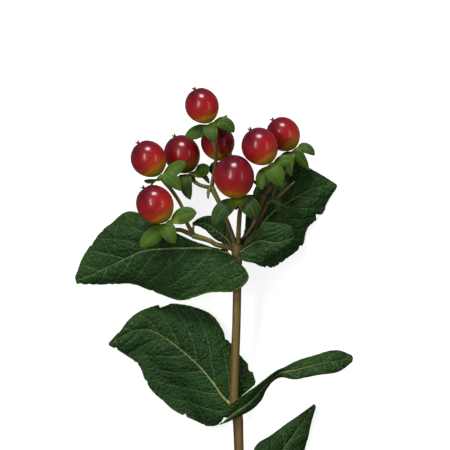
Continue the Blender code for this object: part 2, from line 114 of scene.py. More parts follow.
# Bites and frays in the edges: only the noise above the threshold cuts in
NOTCH_SIZE = 1.7
NOTCH_DEPTH = 2.2
NOTCH_THRESHOLD = 0.22
NOTCH_REACH = 8
NOTCH_LEAST_WIDTH = 3.0
FRAY_SIZE = NOTCH_SIZE / 3
FRAY_DEPTH = 0.12
NOTCHED = {"leaf_upper_right": 2.2, "leaf_middle_left": 1.3, "leaf_upper_left": 0.6}
HARDLY_NOTCHED = 0.2

# Berries: the mesh, the three lobes with a furrow between each two, and the skin's unevenness
BERRY_SEGMENTS = 96
BERRY_RINGS = 64
BERRY_LOBES = 3
LOBE_DEPTH = 0.025
FURROW_DEPTH = 0.035
FURROW_SHARPNESS = 7
FURROW_FROM = -0.1
FURROW_RUN = 0.9
FURROW_GROWTH = 1.5
FURROW_LEAST = 0.2
TIP_DIMPLE = 0.35
TIP_DIMPLE_SIZE = 0.015
SKIN_WAVE = 0.04
SKIN_WAVE_SIZE = 4.0

# Dried styles: they start below the berry's tip, thin out and end in a small knob
STYLE_COUNT = 3
STYLE_LENGTH = 1.5
STYLE_RISE = 0.9
STYLE_SPREAD = 0.5
STYLE_SINK = 0.55
STYLE_RADIUS = 0.13
STYLE_ROOT_SWELL = 0.36
STYLE_KNOB = 0.05
STYLE_STEPS = 4
STYLE_SIDES = 10

# Sepals: the mesh, the outline and the bend, which repeat the model's, then the fine relief
SEPAL_ROWS = 30
SEPAL_COLUMNS = 18
SEPAL_THICKNESS = 0.4
SEPAL_EDGE_LOSS = 0.45
SEPAL_ROOT_RADIUS = 1.2
SEPAL_ARCH = 0.16
SEPAL_OUTLINE_START = 0.16
SEPAL_OUTLINE_SPAN = 0.70
SEPAL_FULLNESS = 0.7
SEPAL_TIP_LOSS = 0.5
SEPAL_ROUND_FROM = 0.84
SEPAL_ROUNDING = 0.98
BEND_REACH = 0.55
BEND_EXTRA = 0.4
BEND_DROP = 0.3
SEPAL_TURN = 0.8
TURN_START = 0.3
TURN_DONE = 0.6
TURN_FADE = 1.6
SEPAL_CROWDING = 1.5
SEPAL_WAVE = 0.22
SEPAL_WAVES = 5
SEPAL_CURL = 0.5
SEPAL_CURL_FROM = 0.6
SEPAL_RIDGE = 0.05
SEPAL_RIDGES = 4
SEPAL_GROOVE = 0.14
SEPAL_GROOVE_WIDTH = 0.12
SEPAL_SEED_STEP = 1.7

# Stem and branches: the mesh, the slightly oval and grained section, and the rounded ends
TUBE_SIDES = 24
TUBE_STEPS = 10
STEM_SIDES = 32
STEM_RIDGE = 0.035
BRANCH_RIDGE = 0.04
OVAL_PHASE = 0.6
GRAIN_COUNT = 7
GRAIN_TWIST = 0.25
STRIPE_PHASE = 0.25
STRIPE_SHARPNESS = 5
CAP_WIDTH = 0.72
CAP_LENGTH = 0.22
LEAST_TUBE_RADIUS = 0.02

# Colours, all linear
LEAF_DARK = (0.005, 0.021, 0.004)
LEAF_MIDDLE = (0.009, 0.034, 0.006)
LEAF_LIGHT = (0.019, 0.053, 0.008)
LEAF_YOUNG = (0.045, 0.10, 0.015)
LEAF_NET = (0.032, 0.074, 0.016)
LEAF_VEIN = (0.09, 0.155, 0.045)
LEAF_RIB = (0.30, 0.31, 0.12)
LEAF_MARGIN = (0.13, 0.19, 0.03)
LEAF_UNDER = (0.06, 0.105, 0.035)
# How far each leaf's green goes towards the young one
LEAF_TONES = {"leaf_front_right": 0.06, "right_bract": 0.2, "leaf_back_left": 0.05}

# From a berry's foot to its tip
BERRY_STOPS = [
    (0.03, (0.26, 0.23, 0.015)), (0.14, (0.62, 0.20, 0.012)), (0.26, (0.46, 0.045, 0.009)),
    (0.44, (0.33, 0.009, 0.011)), (0.68, (0.21, 0.004, 0.011)), (0.92, (0.08, 0.003, 0.010)),
]
BERRY_DARK = (0.045, 0.002, 0.006)
# How dark each berry is, in their order
BERRY_TONES = [0.0, 0.3, 0.1, 0.3, 0.0, 0.12, 0.0, 0.05]

SEPAL_DARK = (0.020, 0.056, 0.004)
SEPAL_LIGHT = (0.056, 0.112, 0.008)
SEPAL_SHADE = (0.009, 0.028, 0.005)
SEPAL_STREAK = (0.066, 0.122, 0.010)
SEPAL_ROOT = (0.17, 0.19, 0.015)
SEPAL_RIM = (0.085, 0.14, 0.022)
# How far each calyx goes towards the shaded green, in their order
SEPAL_TONES = [0.55, 0.6, 0.15, 0.65, 0.15, 1.0, 0.2, 0.35]

BARK_DARK = (0.085, 0.040, 0.014)
BARK_LIGHT = (0.15, 0.092, 0.030)
BARK_RUDDY = (0.11, 0.034, 0.018)
BARK_STRIPE = (0.16, 0.13, 0.028)
BARK_SCAR = (0.22, 0.17, 0.10)
CUT_WOOD = (0.34, 0.31, 0.17)
OLIVE_DARK = (0.050, 0.042, 0.015)
OLIVE_LIGHT = (0.125, 0.105, 0.026)
PURPLE_DARK = (0.050, 0.020, 0.016)
PURPLE_LIGHT = (0.13, 0.062, 0.038)
YOUNG_STALK = (0.13, 0.155, 0.020)
DRIED_DARK = (0.03, 0.012, 0.008)
DRIED_LIGHT = (0.11, 0.05, 0.022)
# Each bark is (material's name, dark, light, share of ruddy, of stripe and of young green)
BARKS = {
    "bark": ("stem_bark", BARK_DARK, BARK_LIGHT, 0.6, 0.75, 0.0),
    "olive_bark": ("olive_bark", OLIVE_DARK, OLIVE_LIGHT, 0.3, 0.2, 0.65),
    "purple_bark": ("purple_bark", PURPLE_DARK, PURPLE_LIGHT, 0.3, 0.1, 0.5),
}
WHITE = (1.0, 1.0, 1.0)

# Each light is (name, place, size, watts, colour)
LIGHT_AIM = (0.0, 0.05, 0.01)
LIGHTS = [
    ("head_box", (-0.10, 0.72, 0.42), (0.30, 0.22), 7.0, (1.0, 0.99, 0.96)),
    ("left_box", (-0.50, 0.10, 0.72), (0.50, 0.13), 3.4, WHITE),
    ("right_box", (0.52, 0.05, 0.62), (0.62, 0.07), 0.9, WHITE),
    ("top_box", (-0.8, 0.35, 1.5), (1.4, 1.4), 3.2, WHITE),
]
WORLD_STRENGTH = 0.16
COAT_ROUGHNESS = 0.18
FLOOR_SIZE = 6.0
FLOOR_DROP = 0.0004
FLOOR_COLOUR = (0.3, 0.3, 0.3)
FLOOR_GLOW = 0.85

# Each berry is (centre, direction from stalk to tip, radius, half length)
BERRIES = [
    ((-12.3, 50.4, 19.0), (-0.42, 0.90, 0.08), 6.0, 6.2),
    ((-6.8, 37.8, 9.0), (-0.18, 0.98, 0.0), 6.1, 6.2),
    ((-31.0, 32.0, 15.0), (-0.56, 0.83, 0.0), 6.3, 6.5),
    ((-19.4, 33.8, 6.36), (-0.40, 0.91, -0.10), 6.5, 6.7),
    ((-28.7, 16.1, 18.0), (-0.58, 0.81, 0.06), 6.6, 6.9),
    ((-1.05, 25.6, 22.0), (-0.17, 0.94, 0.28), 7.2, 7.5),
    ((7.8, 36.2, 20.0), (-0.50, 0.85, 0.12), 6.5, 6.6),
    ((16.1, 40.8, 7.6), (-0.60, 0.80, -0.05), 6.0, 6.1),
]


def unit(vectors):
    """Vectors of length one, the same way round."""
    length = np.linalg.norm(vectors, axis=-1, keepdims=True)
    return vectors / np.maximum(length, 1e-12)


def receptacle_foot(number):
    """The lowest point of a berry, where its receptacle sits, and the berry's direction."""
    centre, direction, _, half_length = BERRIES[number - 1]
    axis = unit(np.array(direction))
    return np.array(centre) - axis * (half_length + FOOT_LENGTH), axis


def stalk_seat(number):
    """The last two points of a stalk, in line with its berry and run into the receptacle."""
    foot, axis = receptacle_foot(number)
    end = foot - axis * (RECEPTACLE_HEIGHT + 2 * GAP)
    return (*(end - axis * SEAT_LENGTH), SEAT_RADIUS), (*(end + axis * SEAT_OVERLAP), SEAT_END_RADIUS)


# Each path is a list of (x, y, z, radius)
MAIN_STEM = [
    (1.4, -136.0, 1.75, 1.7), (1.3, -118.0, 3.1, 1.7), (0.9, -98.0, 4.7, 1.8), (0.9, -93.5, 5.0, 2.1),
    (0.8, -88.0, 5.4, 1.7), (0.5, -70.0, 6.9, 1.65), (0.1, -59.5, 7.7, 1.8), (-0.7, -55.7, 8.0, 1.95),
    (-1.1, -51.5, 8.3, 1.5), (-0.9, -40.0, 9.1, 1.5), (-0.3, -22.0, 10.4, 1.45), (0.0, -5.0, 11.7, 1.5),
    (0.0, -1.5, 12.0, 2.1), (0.0, 1.6, 12.0, 2.25),
]

BRANCHES = {
    "left_branch": ("olive_bark", [
        [(-2.9, 0.9, 12.9, 1.0), (-7.4, 1.9, 13.7, 0.85), (-9.9, 3.3, 14.2, 0.85), (-15.6, 5.1, 14.6, 1.05)],
        [(-15.2, 5.0, 14.6, 0.85), (-19.6, 6.9, 15.8, 0.75), *stalk_seat(5)],
        [(-15.2, 5.0, 14.6, 0.8), (-17.7, 9.5, 15.0, 0.65), (-19.6, 15.4, 15.0, 0.6),
         (-22.6, 20.3, 15.0, 0.65), *stalk_seat(3)],
        [(-15.5, 5.3, 14.8, 0.6), (-15.6, 7.4, 15.6, 0.45), (-15.2, 8.7, 16.0, 0.3)],
    ]),
    "upper_left_branch": ("olive_bark", [
        [(-1.1, 2.9, 11.3, 0.85), (-3.7, 10.0, 12.3, 0.8), (-6.3, 16.3, 12.8, 0.8), (-9.1, 22.0, 13.0, 1.0)],
        [(-9.0, 21.7, 13.0, 0.75), (-12.8, 22.6, 9.6, 0.65), *stalk_seat(4)],
        [(-9.1, 21.6, 13.0, 0.75), (-8.1, 28.0, 15.0, 0.65), (-7.6, 32.3, 16.6, 0.6),
         (-8.2, 38.0, 18.0, 0.65), *stalk_seat(1)],
        [(-9.3, 22.0, 13.2, 0.7), (-10.2, 20.3, 14.3, 0.6), (-10.3, 18.0, 15.0, 0.3)],
    ]),
    "centre_branch": ("olive_bark", [
        [(0.2, 2.9, 13.9, 0.85), (0.4, 8.0, 15.4, 0.8), (0.7, 12.4, 17.0, 0.8), *stalk_seat(6)],
    ]),
    "right_inner_branch": ("purple_bark", [
        [(1.0, 2.9, 12.1, 0.65), (3.7, 6.0, 12.7, 0.65), (6.1, 10.2, 13.3, 0.65), (8.4, 16.5, 14.1, 0.7),
         (9.3, 19.1, 14.5, 0.9)],
        [(9.2, 18.8, 14.5, 0.75), (11.7, 22.5, 15.8, 0.75), (12.6, 25.6, 17.4, 0.75), *stalk_seat(7)],
        [(9.3, 18.9, 14.4, 0.55), (6.3, 23.5, 12.5, 0.5), (1.0, 26.5, 10.5, 0.5), (-3.0, 26.6, 9.5, 0.55),
         *stalk_seat(2)],
    ]),
    "right_outer_branch": ("bark", [
        [(2.7, 2.8, 11.2, 0.8), (5.4, 6.7, 11.3, 0.75), (7.5, 10.9, 11.4, 0.75), (10.3, 16.3, 11.5, 0.85),
         (11.6, 17.9, 11.6, 1.05)],
        [(11.4, 17.6, 11.6, 0.8), (13.4, 22.0, 10.2, 0.7), (17.2, 27.8, 7.8, 0.65), (20.3, 31.2, 7.5, 0.7),
         *stalk_seat(8)],
        [(11.5, 17.7, 11.7, 0.7), (14.2, 18.6, 12.0, 0.55),
         (16.7, 21.0, 12.2, 0.45), (20.0, 23.9, 11.9, 0.3)],
    ]),
}

# Each calyx has five sepals, given as (tip from the berry's foot, width)
SEPALS = [
    [((-9.2, -4.0, -0.8), 5.0), ((1.2, -6.0, 4.6), 5.0), ((7.8, -2.6, 0.4), 4.6),
     ((5.4, 3.4, -3.0), 4.2), ((-3.4, -2.6, -4.4), 4.2)],
    [((6.6, 1.0, 2.0), 5.2), ((0.8, -4.8, 4.0), 4.4), ((-3.2, -4.0, 0.2), 3.6),
     ((-1.8, -2.2, -4.6), 4.0), ((4.8, -2.0, -3.6), 4.0)],
    [((8.6, 5.2, 1.8), 4.8), ((6.8, -4.8, 2.6), 4.8), ((-6.2, -1.2, -2.8), 3.2),
     ((-4.4, -3.4, -4.2), 4.2), ((4.0, -0.6, -5.6), 4.4)],
    [((6.6, 1.8, 5.4), 5.0), ((-0.4, -8.8, 3.4), 4.8), ((-4.6, -5.0, 1.8), 4.4),
     ((-5.0, -2.8, -1.8), 4.0), ((6.2, -3.0, -2.6), 4.2)],
    [((9.6, 3.6, 1.6), 5.8), ((2.2, -7.0, 3.6), 5.6), ((-10.0, -8.2, 1.6), 5.8),
     ((-4.6, -3.4, -5.0), 4.4), ((1.6, 1.0, -6.0), 4.0)],
    [((-8.2, -8.6, 2.6), 6.2), ((5.8, -6.6, 3.6), 6.6), ((7.4, -0.8, -2.6), 4.6),
     ((-6.6, -1.4, -3.4), 4.6), ((-0.8, -3.2, -5.2), 4.2)],
    [((-3.4, -8.4, 2.6), 4.2), ((3.6, -7.2, 3.6), 6.6), ((7.6, 1.6, 0.4), 4.4),
     ((-4.6, -4.4, -3.0), 4.0), ((4.6, -1.4, -4.6), 4.2)],
    [((6.4, -1.6, 1.4), 3.8), ((-1.6, -9.0, 4.4), 4.2), ((4.4, -6.6, 2.4), 4.0),
     ((-6.2, -3.2, 0.2), 4.0), ((5.2, 0.6, -2.8), 3.8)],
]

# Each leaf is a list of stations from stalk to tip: one edge, midrib, other edge
LEAVES = {
    "leaf_upper_left": [
        ((-3.6, 0.3, 11.9), (-3.0, -0.9, 13.2), (2.6, -6.6, 16.2)),
        ((-7.5, 0.5, 11.4), (-4.6, -0.6, 12.7), (3.7, -10.2, 16.0)),
        ((-13.0, 2.6, 10.4), (-9.6, 0.7, 11.6), (-0.9, -14.4, 14.6)),
        ((-20.8, 5.4, 9.4), (-17.3, 0.7, 10.4), (-10.3, -15.0, 11.4)),
        ((-29.9, 10.9, 8.4), (-25.4, 0.4, 9.0), (-20.1, -17.8, 9.0)),
        ((-38.3, 13.5, 5.2), (-33.6, -0.6, 7.2), (-29.9, -14.4, 5.4)),
        ((-45.7, 8.6, 2.8), (-41.8, -4.2, 4.6), (-39.0, -12.0, 2.2)),
        ((-53.7, -0.7, 0.7), (-50.9, -8.6, 2.0), (-49.2, -12.5, 0.5)),
        ((-57.4, -9.6, 0.5), (-57.2, -10.9, 0.7), (-56.7, -12.1, 0.5)),
    ],
    "leaf_upper_right": [
        ((1.3, 1.8, 9.1), (1.9, -0.8, 10.3), (4.6, -4.2, 10.6)),
        ((2.5, 8.0, 7.2), (5.5, 3.0, 8.2), (11.0, -6.3, 8.4)),
        ((3.5, 15.0, 4.6), (9.0, 9.5, 5.8), (16.6, -3.7, 5.6)),
        ((7.0, 23.0, 2.8), (13.5, 14.0, 4.2), (22.6, 1.4, 3.4)),
        ((13.5, 29.0, 1.3), (19.0, 17.5, 3.0), (25.0, 7.5, 1.8)),
        ((21.0, 31.0, -1.6), (24.5, 20.5, 2.2), (30.0, 12.8, 0.5)),
        ((27.0, 28.2, -1.6), (30.0, 22.5, 1.4), (32.6, 18.0, 0.3)),
        ((34.9, 23.2, 0.5), (35.3, 22.5, 0.8), (34.9, 21.6, 0.5)),
    ],
    "leaf_front_right": [
        ((1.3, 0.6, 15.5), (0.9, -0.6, 15.3), (0.2, -1.7, 15.3)),
        ((3.8, 4.2, 16.0), (3.2, 1.0, 15.7), (2.4, -3.9, 17.0)),
        ((9.3, 9.4, 16.8), (7.6, 3.2, 16.2), (7.5, -4.2, 16.8)),
        ((15.0, 9.2, 17.4), (12.7, 2.6, 17.0), (12.5, -1.6, 16.6)),
        ((18.7, 8.4, 17.4), (16.8, 3.6, 17.4), (16.6, 0.4, 17.0)),
        ((19.7, 6.6, 16.8), (19.7, 4.4, 17.0), (19.3, 2.4, 16.6)),
    ],
    "leaf_back_left": [
        ((-1.5, 2.8, 9.2), (-1.9, 1.3, 10.2), (-2.9, 0.9, 10.2)),
        ((-2.4, 7.0, 8.3), (-4.2, 4.2, 8.7), (-5.2, 2.2, 9.2)),
        ((-5.0, 10.5, 8.3), (-7.5, 6.8, 8.8), (-8.5, 4.2, 9.2)),
        ((-9.0, 12.0, 8.9), (-10.5, 9.0, 9.2), (-11.2, 6.8, 9.4)),
        ((-12.6, 11.6, 10.4), (-13.2, 9.6, 10.4), (-13.5, 8.2, 10.4)),
        ((-15.2, 10.0, 12.0), (-15.6, 9.4, 12.0), (-15.7, 8.6, 12.0)),
    ],
    "leaf_middle_left": [
        ((6.8, -47.0, 4.6), (-2.3, -54.5, 5.4), (-4.6, -59.0, 5.2)),
        ((4.6, -41.7, 4.2), (-5.5, -51.3, 5.3), (-6.8, -61.6, 4.2)),
        ((0.5, -36.6, 3.8), (-8.5, -47.0, 4.8), (-11.8, -61.8, 2.2)),
        ((-4.5, -29.5, 3.4), (-13.5, -41.0, 4.2), (-19.0, -58.6, -2.4)),
        ((-9.5, -22.5, 2.6), (-19.5, -35.7, 3.6), (-26.0, -54.0, -4.0)),
        ((-19.0, -19.4, 1.6), (-25.0, -31.5, 2.8), (-31.5, -48.0, -4.0)),
        ((-29.0, -19.5, 0.9), (-31.5, -28.2, 2.0), (-35.0, -41.0, -3.0)),
        ((-36.5, -23.2, 0.6), (-38.3, -29.2, 1.4), (-40.0, -36.8, 0.4)),
        ((-45.3, -32.6, 0.5), (-45.6, -33.3, 0.7), (-45.2, -34.0, 0.5)),
    ],
    "leaf_middle_right": [
        ((-6.8, -57.6, 11.2), (-3.6, -58.9, 11.0), (-6.2, -61.4, 11.0)),
        ((-2.2, -53.8, 12.6), (1.0, -55.8, 11.6), (-0.4, -58.8, 10.9)),
        ((2.0, -50.8, 14.2), (4.5, -53.2, 11.8), (5.0, -56.2, 9.4)),
        ((6.5, -47.5, 15.2), (7.8, -49.8, 12.2), (8.3, -52.8, 8.8)),
        ((11.7, -43.6, 14.4), (11.4, -46.0, 12.4), (10.6, -48.3, 9.8)),
        ((15.5, -41.4, 12.4), (15.0, -43.0, 12.0), (14.8, -44.8, 11.4)),
        ((20.7, -39.0, 8.8), (20.8, -41.8, 11.0), (20.4, -45.3, 12.2)),
        ((28.0, -36.6, 6.2), (28.0, -40.0, 9.0), (28.0, -43.9, 10.8)),
        ((35.5, -35.3, 4.6), (35.3, -38.8, 7.0), (35.5, -42.8, 8.2)),
        ((40.2, -37.0, 4.2), (40.7, -38.2, 5.0), (40.3, -39.6, 5.6)),
    ],
    "leaf_lower_right": [
        ((3.2, -88.6, 4.9), (3.5, -91.2, 4.6), (5.6, -96.5, 3.4)),
        ((4.4, -82.4, 5.0), (6.9, -85.6, 4.6), (13.0, -93.0, 1.6)),
        ((4.2, -75.5, 4.6), (10.5, -79.5, 4.2), (18.5, -86.0, -0.4)),
        ((6.4, -69.3, 4.0), (14.5, -72.8, 3.6), (22.0, -78.0, -0.8)),
        ((12.0, -65.0, 3.2), (18.5, -67.0, 3.0), (24.0, -70.5, 0.2)),
        ((19.5, -59.8, 2.6), (22.8, -61.2, 2.6), (25.4, -64.0, 1.4)),
        ((27.0, -54.4, 2.4), (27.5, -54.8, 2.4), (27.7, -55.5, 2.3)),
    ],
    "leaf_lower_left": [
        ((-2.6, -90.5, 3.8), (-1.7, -94.4, 4.0), (-2.6, -98.5, 3.2)),
        ((-8.0, -86.0, 2.6), (-8.0, -96.0, 4.2), (-8.0, -105.5, 1.6)),
        ((-16.0, -84.0, 1.0), (-16.0, -98.3, 4.2), (-16.0, -111.5, -0.4)),
        ((-25.0, -86.5, 0.0), (-25.0, -101.0, 3.6), (-24.0, -114.0, -0.8)),
        ((-33.0, -93.0, 0.2), (-33.0, -103.6, 2.4), (-32.0, -112.5, -0.2)),
        ((-40.6, -105.8, 0.5), (-41.0, -106.8, 0.8), (-40.6, -107.9, 0.5)),
    ],
    "right_bract": [
        ((9.7, 16.6, 14.9), (10.0, 16.0, 14.7), (10.4, 15.4, 14.5)),
        ((11.4, 18.6, 15.0), (11.7, 17.2, 14.7), (11.9, 15.9, 14.3)),
        ((13.7, 18.4, 14.4), (13.4, 16.8, 14.6), (12.8, 15.4, 14.4)),
        ((15.6, 16.8, 14.0), (14.6, 15.8, 14.4), (13.4, 14.9, 14.4)),
        ((14.6, 13.6, 14.2), (14.2, 13.4, 14.3), (13.8, 13.2, 14.3)),
    ],
}


def to_world(points):
    """Metres in the part's frame, from millimetres round the top leaf joint."""
    return (np.asarray(points, dtype=float) + (TOP_JOINT_X, TOP_JOINT_Y, 0.0)) * MM


def smooth_path(points, steps):
    """Catmull-Rom run through points, with steps per span."""
    points = np.asarray(points, dtype=float)
    ends = np.vstack([2 * points[0] - points[1], points, 2 * points[-1] - points[-2]])
    path = []
    for i in range(1, len(ends) - 2):
        before, start, end, after = ends[i - 1:i + 3]
        for t in np.arange(steps) / steps:
            path.append(0.5 * (
                2 * start
                + (end - before) * t
                + (2 * before - 5 * start + 4 * end - after) * t**2
                + (3 * start - before - 3 * end + after) * t**3
            ))
    path.append(points[-1])
    return np.array(path)


class Shape:
    """Vertices, faces and per-vertex numbers of a piece that is being put together."""

    def __init__(self):
        self.points = []
        self.faces = []
        self.values = {}
        self.count = 0

    def add(self, points, faces, **values):
        """Adds points with their faces. Each value is one number, or one for each point."""
        points = np.asarray(points, dtype=float).reshape(-1, 3)
        self.points.append(points)
        self.faces += [tuple(int(i) + self.count for i in face) for face in faces]
        for name, value in values.items():
            spread = np.broadcast_to(np.asarray(value, dtype=float).reshape(-1), (len(points),))
            self.values.setdefault(name, []).append(spread)
        self.count += len(points)

    def build(self, name, node, slot, material):
        """Makes the piece and puts it in the place of the model's node."""
        mesh = bpy.data.meshes.new(name)
        mesh.from_pydata(to_world(np.vstack(self.points)).tolist(), [], self.faces)
        for label, parts in self.values.items():
            layer = mesh.attributes.new(label, "FLOAT", "POINT")
            layer.data.foreach_set("value", np.concatenate(parts).astype(np.float32))
        mesh.materials.append(material)
        mesh.shade_smooth()
        mesh.validate()
        piece = bpy.data.objects.new(name, mesh)
        bpy.context.scene.collection.objects.link(piece)
        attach(piece, "root")
        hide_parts(node)


def shell_faces(rows, columns):
    """Faces of a closed thin shell: an upper grid, then a lower grid, joined round the rim."""
    upper = np.arange(rows * columns).reshape(rows, columns)
    lower = upper + rows * columns
    faces = []
    for i in range(rows - 1):
        for j in range(columns - 1):
            faces.append((upper[i, j], upper[i + 1, j], upper[i + 1, j + 1], upper[i, j + 1]))
            faces.append((lower[i, j], lower[i, j + 1], lower[i + 1, j + 1], lower[i + 1, j]))
    rim = [(i, 0) for i in range(rows)]
    rim += [(rows - 1, j) for j in range(1, columns)]
    rim += [(i, columns - 1) for i in range(rows - 2, -1, -1)]
    rim += [(0, j) for j in range(columns - 2, 0, -1)]
    for a, b in zip(rim, rim[1:] + rim[:1]):
        faces.append((upper[a], lower[a], lower[b], upper[b]))
    return faces


def add_shell(shape, upper, lower, **values):
    """Adds a thin shell of two grids. Each value is one number, or spreads over one grid."""
    rows, columns = upper.shape[:2]
    count = rows * columns
    spread = {}
    for name, value in values.items():
        one_side = np.broadcast_to(value, (rows, columns)).reshape(-1)
        spread[name] = np.concatenate([one_side, one_side])
    spread["under"] = np.concatenate([np.zeros(count), np.ones(count)])
    points = np.concatenate([upper.reshape(-1, 3), lower.reshape(-1, 3)])
    shape.add(points, shell_faces(rows, columns), **spread)


def ring_faces(rings, sides):
    """Faces of a closed tube: bands between the rings, then one face for each end."""
    index = np.arange(rings * sides).reshape(rings, sides)
    faces = []
    for i in range(rings - 1):
        for j in range(sides):
            k = (j + 1) % sides
            faces.append((index[i, j], index[i, k], index[i + 1, k], index[i + 1, j]))
    faces.append(tuple(index[0, ::-1]))
    faces.append(tuple(index[-1]))
    return faces


def smooth_noise(points, size, seed):
    """Soft noise from -1 to 1 at each point, with bumps of about that size."""
    shift = Vector((seed * 7.3, seed * 3.1, seed * 5.7))
    flat = np.asarray(points).reshape(-1, 3) / size
    found = [noise.noise(Vector(p) + shift) for p in flat.tolist()]
    return np.array(found).reshape(np.asarray(points).shape[:-1])


def notches(length, seed, strength):
    """How far small bites and frays go into a leaf's edge, along its run, in millimetres."""
    places = np.stack([length, np.full_like(length, seed * 3.7), np.zeros_like(length)], axis=-1)
    coarse = np.clip(smooth_noise(places, NOTCH_SIZE, seed) - NOTCH_THRESHOLD, 0, None)
    fine = smooth_noise(places, FRAY_SIZE, seed + 5)
    return strength * (NOTCH_DEPTH * coarse + FRAY_DEPTH * fine)


def leaf_veins(length, reach, side, drift):
    """Distance from the nearest side vein, with a sign, then depth of veins and of quilting."""
    total = length[-1]
    spacing = total / SIDE_VEINS
    share = np.abs(side)[None, :]
    slant = VEIN_SLANT * reach * (1 + VEIN_CURVE * share)
    stagger = np.where(side < 0, 0.0, VEIN_STAGGER)[None, :]
    phase = (length[:, None] - slant + drift) / spacing + stagger
    apart = np.sin(np.pi * phase) * spacing * VEIN_LEAN / np.pi
    # Side veins fade towards the edge, and the rib thins towards the tip
    vein = np.exp(-(apart / VEIN_WIDTH) ** 2) * np.clip(1.1 - share, 0, 1) ** 0.7
    taper = np.clip(1 - length / total, 0.1, 1)[:, None]
    rib = np.exp(-(reach / (RIB_TIP_WIDTH + RIB_WIDTH * taper)) ** 2)
    # The quilting is flat at the rib and at the edge
    quilt = np.abs(np.sin(np.pi * phase)) ** QUILT_ROUNDING
    quilt = quilt * np.clip(share * 5, 0, 1) * np.clip((1 - share) * 3, 0, 1)
    return apart, np.maximum(vein, RIB_DEPTH * rib), quilt


def leaf_rails(stations):
    """One edge, midrib and other edge as smooth runs, turned so that the blade faces up."""
    stations = np.array(stations)
    rails = [smooth_path(stations[:, k], LEAF_ROWS_PER_SPAN) for k in range(3)]
    middle = stations[len(stations) // 2]
    if np.cross(stations[-1, 1] - stations[0, 1], middle[2] - middle[0])[2] < 0:
        rails = rails[::-1]
    return rails


def leaf_sheet(name, rails, length, side, seed):
    """The bare blade between its notched edges, and its half widths."""
    left, mid, right = rails
    share = np.abs(side)[None, :]
    half_left, half_right = (np.linalg.norm(rail - mid, axis=1) for rail in (left, right))
    strength = NOTCHED.get(name, HARDLY_NOTCHED)
    bites = [
        notches(length, seed + k, strength) / np.maximum(half, NOTCH_LEAST_WIDTH)
        for k, half in enumerate((half_left, half_right))
    ]
    bite = np.where((side < 0)[None, :], bites[0][:, None], bites[1][:, None])
    reach_share = share * (1 - bite * share**NOTCH_REACH)
    edge = np.where((side < 0)[None, :, None], left[:, None, :], right[:, None, :])
    half = np.where((side < 0)[None, :], half_left[:, None], half_right[:, None])
    sheet = mid[:, None, :] * (1 - reach_share[..., None]) + edge * reach_share[..., None]
    narrow = np.minimum(half_left, half_right)[:, None]
    sheet[..., 2] += np.minimum(LEAF_BULGE, narrow * NARROW_BULGE) * np.sin(np.pi * share)
    return sheet, half, narrow


def leaf_lift(sheet, length, share, narrow, sunken, quilt, seed):
    """Height of the relief over the bare blade: quilting, veins, puckers and the waved edge."""
    size = np.clip(narrow / FULL_RELIEF_WIDTH, LEAST_RELIEF, 1)
    lift = (QUILT_HEIGHT * quilt - VEIN_DEPTH * sunken) * size
    lift = lift + PUCKER_HEIGHT * smooth_noise(sheet, PUCKER_SIZE, seed + 11) * size
    lift = lift + FINE_PUCKER_HEIGHT * smooth_noise(sheet, FINE_PUCKER_SIZE, seed + 23) * size
    wave = np.sin(2 * np.pi * MARGIN_WAVES * length / length[-1] + seed)[:, None]
    return lift + MARGIN_WAVE * wave * share**4 * size


def leaf(name, stations, columns, material, tone, seed):
    """A leaf between two edges and a midrib, with sunken veins and quilted flesh between them."""
    rails = leaf_rails(stations)
    mid = rails[1]
    length = np.concatenate([[0], np.cumsum(np.linalg.norm(np.diff(mid, axis=0), axis=1))])
    side = np.linspace(-1, 1, 2 * columns + 1)
    share = np.abs(side)[None, :]
    sheet, half, narrow = leaf_sheet(name, rails, length, side, seed)
    along = unit(np.gradient(sheet, axis=0))
    across = unit(np.gradient(sheet, axis=1))
    normal = unit(np.cross(along, across))
    drift = smooth_noise(sheet, VEIN_DRIFT_SIZE, seed) * VEIN_DRIFT
    apart, sunken, quilt = leaf_veins(length, half * share, side, drift)
    lift = leaf_lift(sheet, length, share, narrow, sunken, quilt, seed)
    upper = sheet + normal * lift[..., None]
    lower = upper - normal * LEAF_THICKNESS
    upper[..., 2] = np.maximum(upper[..., 2], LEAF_REST)
    lower[..., 2] = np.maximum(lower[..., 2], UNDERSIDE_REST)
    vein_size = np.clip(length[-1] / FULL_VEIN_LENGTH, LEAST_VEIN_SIZE, 1)
    shape = Shape()
    add_shell(
        shape, upper, lower,
        from_vein=apart / vein_size,
        from_rib=half * side[None, :] / vein_size,
        across=share,
        along=(length / length[-1])[:, None],
        tone=tone,
    )
    shape.build(name + "_blade", name, "leaf", material)


def tube_points(path, steps, sides):
    """Rings of a tapering tube, with the distance along it and the angle round it."""
    run = smooth_path(path, steps)
    centre, radius = run[:, :3], np.maximum(run[:, 3], LEAST_TUBE_RADIUS)
    heading = unit(np.gradient(centre, axis=0))
    side = np.cross(heading[0], (0.0, 0.0, 1.0))
    rings, distances = [], []
    distance = 0.0
    angles = 2 * np.pi * np.arange(sides) / sides
    for i, point in enumerate(centre):
        side = unit(side - heading[i] * np.dot(side, heading[i]))
        up = np.cross(side, heading[i])
        if i:
            distance += np.linalg.norm(point - centre[i - 1])
        rings.append(point + radius[i] * (np.cos(angles)[:, None] * side + np.sin(angles)[:, None] * up))
        distances.append(np.full(sides, distance))
    return np.array(rings), np.array(distances), np.broadcast_to(angles, (len(rings), sides)), heading


def end_cap(ring, heading):
    """A smaller ring a little beyond the last one, which rounds off the end of a tube."""
    centre = ring.mean(axis=0)
    radius = np.linalg.norm(ring - centre, axis=1).mean()
    return centre + (ring - centre) * CAP_WIDTH + heading * radius * CAP_LENGTH


